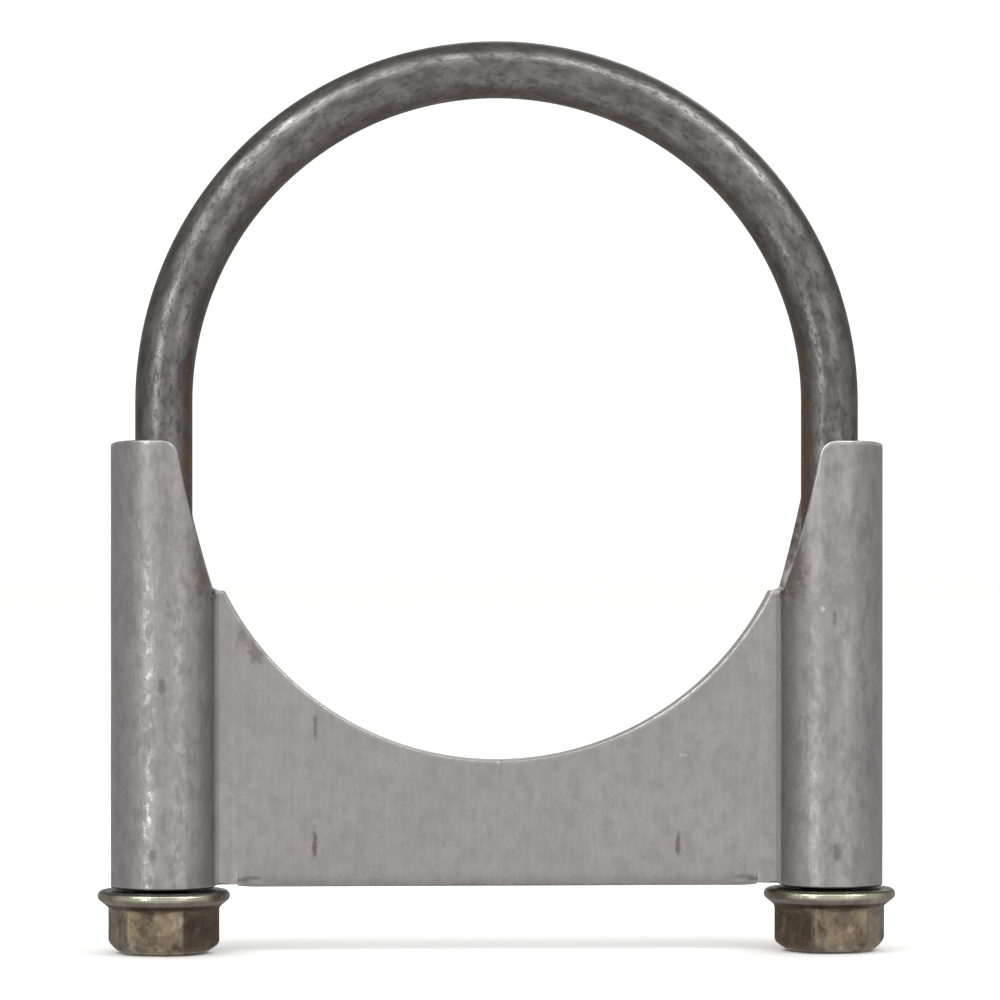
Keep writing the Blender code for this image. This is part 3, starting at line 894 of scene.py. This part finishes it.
# %% Press marks: how far each point of the sheet is pushed outwards
PINCH_LENGTH = 6.0 * MM  # how far the pinch runs in from the fold's end
GROOVE_FOOT = 1.25 * MM  # height above the saddle's bottom where its groove starts
GROOVE_CLIMB = 0.75 * MM  # how much higher it ends
GROOVE_DEPTH = 0.17 * MM
GROOVE_WIDTH = 0.32 * MM
BULGE_BELOW = 0.75 * MM  # the bulge's distance below the groove
BULGE_RISE = 0.09 * MM
BULGE_WIDTH = 0.45 * MM
SLOW_WAVES = (45, 30)  # how close the press's waves are, across and along the sleeves
CLOSE_WAVES = (130, 55)
SLOW_RISE = 0.020 * MM
CLOSE_RISE = 0.040 * MM


def fold_end_mark(x, z):
    """The pinch that runs in from the fold's end: a groove that climbs and fades, over a small bulge."""
    inward = (FOLD_HALF - x) / PINCH_LENGTH
    if not 0 <= inward <= 1:
        return 0.0
    from_groove = z - (SADDLE_BOTTOM + GROOVE_FOOT + GROOVE_CLIMB * inward ** 0.8)
    groove = math.exp(-(from_groove / GROOVE_WIDTH) ** 2)
    bulge = math.exp(-((from_groove + BULGE_BELOW) / BULGE_WIDTH) ** 2)
    return (1 - inward) ** 1.1 * (BULGE_RISE * bulge - GROOVE_DEPTH * groove)


def waves(x, y, z, closeness):
    """Smooth noise from -1 to 1, with as many waves in a metre as closeness says."""
    across, along = closeness
    return noise.noise(Vector((across * x, across * y, along * z)))


def unevenness(x, y, z):
    """Slow, slight waves that the press leaves in the sheet, and closer, inward ones on the sleeves."""
    on_sleeve = share_of(abs(x), CREASE_X, 3 * MM)
    close = CLOSE_RISE * on_sleeve * (waves(x, y, z, CLOSE_WAVES) - 0.3)
    return SLOW_RISE * waves(x, y, z, SLOW_WAVES) + close


# %% Columns of points down the sheet
FIRST_ROW = 0.6 * MM  # a short first row keeps the seat's edge crisp
ROWS = 36
LOWER_ROWS = 6  # below the slit's top
FOLD_STEPS = 18


def column(station):
    """Points down the sheet from one station, each with the direction it faces."""
    length, top = station
    (x, y), (out_x, out_y) = plan(length)
    low = SLIT_TOP + EDGE_ROUND
    first = min(FIRST_ROW, (top - low) / ROWS)
    heights = [top] + [top - first - (top - first - low) * row / ROWS for row in range(ROWS + 1)]
    points = [((x, y, z), (out_x, out_y, 0.0)) for z in heights]
    on_plate = length >= SLEEVE_LENGTH + CREASE_LENGTH
    if on_plate and x < FOLD_HALF:
        for step in range(1, FOLD_STEPS + 1):
            turn = math.pi / 2 * step / FOLD_STEPS
            across, down = math.cos(turn), math.sin(turn)
            points.append(((x, -PLATE_MID * across, FOLD_START - PLATE_MID * down), (0.0, -across, -down)))
        return points
    raised = STRIP_RAISE * eased(share_of(length, SLEEVE_LENGTH, CREASE_LENGTH))
    bottom = SADDLE_BOTTOM + EDGE_ROUND + raised
    for row in range(1, LOWER_ROWS + 1):
        points.append(((x, y, low + (bottom - low) * row / LOWER_ROWS), (out_x, out_y, 0.0)))
    return points


# %% Four quarters of the sheet's middle, joined
def add_quarter(work, facing, side, face):
    """The right (1) or left (-1) half of the front (1) or back (-1) plate with its half sleeve."""
    columns = []
    for station in stations:
        line = []
        for (x, y, z), (out_x, out_y, out_z) in column(station):
            out = Vector((side * out_x, face * out_y, out_z))
            push = unevenness(side * x, face * y, z) + fold_end_mark(x, z)
            vertex = work.verts.new(Vector((side * x, face * y, z)) + out * push)
            vertex[facing] = out
            line.append(vertex)
        columns.append(line)
    for left, right in zip(columns, columns[1:]):
        deep = len(left) if len(left) == len(right) else ROWS + 2
        for row in range(deep - 1):
            work.faces.new((left[row], left[row + 1], right[row + 1], right[row]))


def sheet_middle():
    """The whole sheet's middle surface, and the layer that keeps each point's direction."""
    work = bmesh.new()
    facing = work.verts.layers.float_vector.new("facing")
    for side in (1, -1):
        for face in (1, -1):
            add_quarter(work, facing, side, face)
    bmesh.ops.remove_doubles(work, verts=work.verts, dist=2 * WELD)
    return work, facing


# %% The rounded rim round every open edge
RIM_STEPS = 4
FAN_STEP = math.radians(18)


def open_loops(middle):
    """Each closed run of open edges, as (vertex, edge before it, edge after it)."""
    seen, loops = set(), []
    for start in middle.edges:
        if not start.is_boundary or start in seen:
            continue
        loop, edge, vertex = [], start, start.verts[1]
        while True:
            seen.add(edge)
            after = next(other for other in vertex.link_edges if other.is_boundary and other != edge)
            loop.append((vertex, edge, after))
            edge, vertex = after, after.other_vert(vertex)
            if edge == start:
                break
        loops.append(loop)
    return loops


def away(edge, facing):
    """The direction that leads off the sheet across an open edge."""
    one, other = edge.verts
    across = (other.co - one.co).cross(one[facing] + other[facing]).normalized()
    inside = edge.link_faces[0].calc_center_median() - (one.co + other.co) / 2
    return across if across.dot(inside) < 0 else -across


def rim_directions(vertex, before, after, facing):
    """Where the rim goes from a vertex: one way, or a fan of ways round an outer corner."""
    first, second = away(before, facing), away(after, facing)
    turn = first.angle(second)
    if turn < FAN_STEP:
        return [(first + second).normalized()]
    travel = vertex.co - before.other_vert(vertex).co
    if second.dot(travel) < 0:
        return [(first + second) / (1 + first.dot(second))]
    steps = math.ceil(turn / FAN_STEP)
    return [first.slerp(second, step / steps) for step in range(steps + 1)]


def add_rim(made, rim, loop, facing, front, back):
    """Wraps a half-round outline along a run of open edges: how many sections it has."""
    flat = SHEET / 2 - EDGE_ROUND
    turns = [math.pi / 2 * step / RIM_STEPS for step in range(1, RIM_STEPS + 1)]
    outline = [(EDGE_ROUND * math.sin(turn), flat + EDGE_ROUND * math.cos(turn)) for turn in turns]
    outline += [(reach, -lift) for reach, lift in reversed(outline)]
    sections = []
    for vertex, before, after in loop:
        for direction in rim_directions(vertex, before, after, facing):
            ring = [made.verts.new(vertex.co + direction * reach + vertex[facing] * lift)
                    for reach, lift in outline]
            sections.append([front[vertex], *ring, back[vertex]])
            for near in sections[-1]:
                near[rim] = 1.0
    for left, right in zip(sections, sections[1:] + sections[:1]):
        for row in range(len(left) - 1):
            corners = list(dict.fromkeys((left[row], left[row + 1], right[row + 1], right[row])))
            if len(corners) > 2:
                made.faces.new(corners)
    return len(sections)


# %% Skin both sides, wrap the rim and keep the saddle
def make_saddle():
    """The saddle from its middle surface: a skin on each side and the rim between them."""
    middle, facing = sheet_middle()
    made = bmesh.new()
    rim = made.verts.layers.float.new("rim")
    half = SHEET / 2
    front = {vertex: made.verts.new(vertex.co + vertex[facing] * half) for vertex in middle.verts}
    back = {vertex: made.verts.new(vertex.co - vertex[facing] * half) for vertex in middle.verts}
    for face in middle.faces:
        made.faces.new([front[vertex] for vertex in face.verts])
        made.faces.new([back[vertex] for vertex in reversed(face.verts)])
    sections = [add_rim(made, rim, loop, facing, front, back) for loop in open_loops(middle)]
    print("rims:", len(sections), "with sections", sections)
    data = bpy.data.meshes.new("saddle")
    made.to_mesh(data)
    made.free()
    middle.free()
    face_out(data)
    smooth_by_angle(data, degrees=42)
    finish_piece("folded_saddle", data, SADDLE_STEEL, "saddle")


make_saddle()

# %% [markdown]
# ## The flange nuts
#
# A forged flange nut is a hexagon that grows into a round flange. Joined solids would leave hard seams,
# so the nut is drawn as one skin. At each angle round the axis the skin has the same list of points:
# bottom face, chamfer, flat, cone, rim, top face and the threaded wall back down. Only the hexagon's
# radius changes with the angle, so the chamfer's curved edges come out by themselves, as they do on the
# lathe.

# %% Sizes of the nut
NUT_FLATS = 16.3 * MM
HEX_ROUND = 0.40 * MM  # of the hexagon's upright corners
CHAMFER_RADIUS = 7.4 * MM  # of the flat bottom face
CHAMFER_RISE = 1.4 * MM  # of the chamfer at the corners
RIM_ROUND = 0.95 * MM
RIM_DROP = 0.1 * MM  # the rim's highest line below the top face
RIM_TURNS = (-50, 90)  # degrees round the rim, from below to above
RIM_STEPS_ROUND = 10
CONE_FOOT = (7.9 * MM, 6.3 * MM)  # radius and height where hexagon and flange meet
FOOT_CUT = 0.60 * MM  # how far each corner of the slice is rounded back
CHAMFER_CUT = 0.75 * MM
NECK_CUT = 0.55 * MM
BORE_MOUTH = 0.7 * MM  # how much wider the bore is at its ends
BORE_PLAY = 0.1 * MM
LEFT_TURN = 21.0  # degrees from the front to the nearest corner, towards the middle
RIGHT_TURN = 24.5  # no two nuts stop at the same angle
WALL_ROWS = 84

HALF_SIDE = math.radians(30)
HEX_CORNER = NUT_FLATS / math.sqrt(3)
ROUND_CENTRE = (NUT_FLATS / 2 - HEX_ROUND) / math.cos(HALF_SIDE)
ROUND_END = math.atan2(HEX_ROUND * math.sin(HALF_SIDE), ROUND_CENTRE + HEX_ROUND * math.cos(HALF_SIDE))


# %% The hexagon's radius at an angle, and the angles worth drawing
def hexagon_radius(from_corner):
    """Radius of the rounded hexagon at an angle from its nearest corner."""
    turn = abs(from_corner)
    if turn < ROUND_END:
        sideways = ROUND_CENTRE * math.sin(turn)
        return ROUND_CENTRE * math.cos(turn) + math.sqrt(HEX_ROUND ** 2 - sideways ** 2)
    return NUT_FLATS / 2 / math.cos(HALF_SIDE - turn)


def nut_angles():
    """Angles all the way round, from the first corner and from the nearest corner."""
    end = math.degrees(ROUND_END)
    side = [0, end * 0.35, end * 0.7, end, end * 1.8, end * 3, 6.5, 10, 14, 18, 22, 26]
    sector = side + [30] + [60 - turn for turn in reversed(side[1:])]
    made = []
    for corner in range(6):
        for turn in sector:
            nearest = turn if turn <= 30 else turn - 60
            made.append((math.radians(corner * 60 + turn), math.radians(nearest)))
    return made


# %% One slice of the skin
def soft_corner(before, corner, after, cut, steps):
    """Points that round a corner of the slice, starting and ending at a distance cut from it."""
    start = corner + (before - corner).normalized() * cut
    end = corner + (after - corner).normalized() * cut
    made = []
    for step in range(steps + 1):
        share = step / steps
        made.append(start * (1 - share) ** 2 + corner * 2 * share * (1 - share) + end * share ** 2)
    return made


def nut_slice(angle, from_corner):
    """(radius, height) points round the slice at one angle: outside first, then the threaded wall."""
    hexagon = hexagon_radius(from_corner)
    chamfer_z = CHAMFER_RISE * (hexagon - CHAMFER_RADIUS) / (HEX_CORNER - CHAMFER_RADIUS)
    rim_centre = Vector((FLANGE_RADIUS - RIM_ROUND, NUT_HEIGHT - RIM_ROUND - RIM_DROP))
    rim_start, rim_end = RIM_TURNS
    rim = []
    for step in range(RIM_STEPS_ROUND + 1):
        turn = math.radians(rim_start + (rim_end - rim_start) * step / RIM_STEPS_ROUND)
        rim.append(rim_centre + RIM_ROUND * Vector((math.cos(turn), math.sin(turn))))
    slope = (rim[0].y - CONE_FOOT[1]) / (rim[0].x - CONE_FOOT[0])
    cone_z = CONE_FOOT[1] + (hexagon - CONE_FOOT[0]) * slope
    mouth = ROD_RADIUS + BORE_PLAY + BORE_MOUTH
    foot = Vector((CHAMFER_RADIUS, 0))
    chamfer = Vector((hexagon, chamfer_z))
    neck = Vector((hexagon, cone_z))
    points = [Vector((mouth, 0)), Vector((mouth + 0.5 * MM, 0)), Vector((6.5 * MM, 0))]
    points += soft_corner(Vector((mouth, 0)), foot, chamfer, FOOT_CUT, 5)
    points += soft_corner(foot, chamfer, neck, min(CHAMFER_CUT, 0.6 * (chamfer - foot).length), 6)
    points += [chamfer.lerp(neck, 0.35), chamfer.lerp(neck, 0.7)]
    points += soft_corner(chamfer, neck, rim[0], NECK_CUT, 5)
    points += rim
    points += [Vector((FLANGE_RADIUS - 2 * RIM_ROUND, NUT_HEIGHT)), Vector((7.3 * MM, NUT_HEIGHT))]
    points += [Vector((mouth, NUT_HEIGHT))]
    for row in range(1, WALL_ROWS):
        height = NUT_HEIGHT * (1 - row / WALL_ROWS)
        cone = mouth - min(height, NUT_HEIGHT - height)
        points.append(Vector((max(nut_thread_radius(angle, height), cone), height)))
    return points


# %% Skin the slices into a closed nut, once for each leg
def make_nut(name, side, corner_turn):
    """The nut on the left (-1) or right (1) leg."""
    work = bmesh.new()
    corner_angle = math.radians(-90 - side * corner_turn)
    rings = []
    for turn, from_corner in nut_angles():
        angle = corner_angle + turn
        rings.append([work.verts.new((side * LEG_X + p.x * math.cos(angle), p.x * math.sin(angle), p.y))
                      for p in nut_slice(angle, from_corner)])
    for ring, after in zip(rings, rings[1:] + rings[:1]):
        for row in range(len(ring)):
            below = (row + 1) % len(ring)
            work.faces.new((ring[row], after[row], after[below], ring[below]))
    data = bpy.data.meshes.new(name)
    work.to_mesh(data)
    work.free()
    face_out(data)
    smooth_by_angle(data, degrees=36)
    finish_piece(f"flange_{name}", data, NUT_ZINC, name)


make_nut("nut_left", -1, LEFT_TURN)
make_nut("nut_right", 1, RIGHT_TURN)

# %% [markdown]
# ## Floor, light and camera
#
# Metal only shows what it reflects, so the white room has three parts: a bright surround for the floor
# and the view, a dimmer one for reflections, and soft boxes that draw the long highlights down the rod
# and the sleeves. The camera is level with the clamp's middle, far away with a long lens, and a little to
# the left.

# %% Floor and surround
FLOOR_HALF = 4.0
FLOOR_HEIGHT = -0.3 * MM
WHITE = 1.12  # the surround for the floor and the view
REFLECTED_FRONT = (0.37, 0.52)  # the surround in reflections: to the sides, and straight in front
REFLECTED_BELOW = 0.14  # what the floor adds to them


def make_floor():
    data = bpy.data.meshes.new("floor")
    corners = [(-1, -1), (1, -1), (1, 1), (-1, 1)]
    places = [(x * FLOOR_HALF, y * FLOOR_HALF, FLOOR_HEIGHT) for x, y in corners]
    data.from_pydata(places, [], [(0, 1, 2, 3)])
    made = new_object("floor", data)
    paint = bpy.data.materials.new("floor_paint")
    paint.use_nodes = True
    shader = paint.node_tree.nodes["Principled BSDF"]
    shader.inputs["Base Color"].default_value = (0.93, 0.93, 0.925, 1.0)
    shader.inputs["Roughness"].default_value = 0.9
    data.materials.append(paint)
    made.visible_glossy = False


def make_surround():
    world = bpy.data.worlds.new("surround")
    bpy.context.scene.world = world
    world.use_nodes = True
    tree = world.node_tree
    back = tree.nodes["Background"]
    direction = add(tree, "ShaderNodeTexCoord").outputs["Generated"]
    _, depth, up = add(tree, "ShaderNodeSeparateXYZ", {0: direction}).outputs
    front = ramp(tree, depth, -0.20, -0.95, *REFLECTED_FRONT)
    reflected = sums(tree, "ADD", front, ramp(tree, up, -0.25, -0.80, 0.0, REFLECTED_BELOW))
    is_glossy = add(tree, "ShaderNodeLightPath").outputs["Is Glossy Ray"]
    mix = add(tree, "ShaderNodeMix", {0: is_glossy, 2: WHITE, 3: reflected}, data_type="FLOAT").outputs[0]
    tree.links.new(mix, back.inputs["Strength"])
    back.inputs["Color"].default_value = (1.0, 1.0, 1.0, 1.0)


make_floor()
make_surround()


# %% Soft boxes and the camera
CENTRE = Vector((0, 0, 75 * MM))
BOX_DISTANCE = 1.2
CAMERA_DISTANCE = 0.834
CAMERA_AZIMUTH = -2.6
CAMERA_SHIFT = Vector((0.4 * MM, 0, 0))
LONG_LENS = 180


def from_centre(azimuth, elevation, distance):
    """A place at an azimuth from the front (positive to the right) and an elevation, both in degrees."""
    turn, lift = math.radians(azimuth), math.radians(elevation)
    level = math.cos(lift)
    return CENTRE + distance * Vector((math.sin(turn) * level, -math.cos(turn) * level, math.sin(lift)))


def aim(thing, target):
    thing.rotation_euler = (target - thing.location).to_track_quat("-Z", "Y").to_euler()


def soft_box(name, azimuth, elevation, width, height, brightness):
    """A white lamp that faces the clamp; brightness is per area, so its size changes only its spread."""
    data = bpy.data.lights.new(name, "AREA")
    data.shape = "RECTANGLE"
    data.size = width
    data.size_y = height
    data.energy = brightness * math.pi * width * height
    made = new_object(name, data)
    made.location = from_centre(azimuth, elevation, BOX_DISTANCE)
    aim(made, CENTRE)
    made.visible_camera = False


soft_box("left_key", -50, 44, 0.40, 0.40, 4.0)
soft_box("right_key", 52, 42, 0.40, 0.40, 4.0)
soft_box("top_box", 0, 58, 1.50, 0.22, 2.3)
soft_box("left_strip", -34, 4, 0.08, 0.9, 6.5)
soft_box("right_strip", 31, 4, 0.30, 0.9, 0.6)
soft_box("back_box", 165, 28, 0.7, 0.5, 0.9)


def make_camera():
    data = bpy.data.cameras.new("camera")
    data.lens = LONG_LENS
    data.sensor_width = 36
    made = new_object("camera", data)
    made.location = from_centre(CAMERA_AZIMUTH, 0, CAMERA_DISTANCE) + CAMERA_SHIFT
    aim(made, CENTRE + CAMERA_SHIFT)
    bpy.context.scene.camera = made


make_camera()
bpy.context.scene.view_settings.view_transform = "Standard"
print("camera at", [round(v, 3) for v in bpy.context.scene.camera.location])
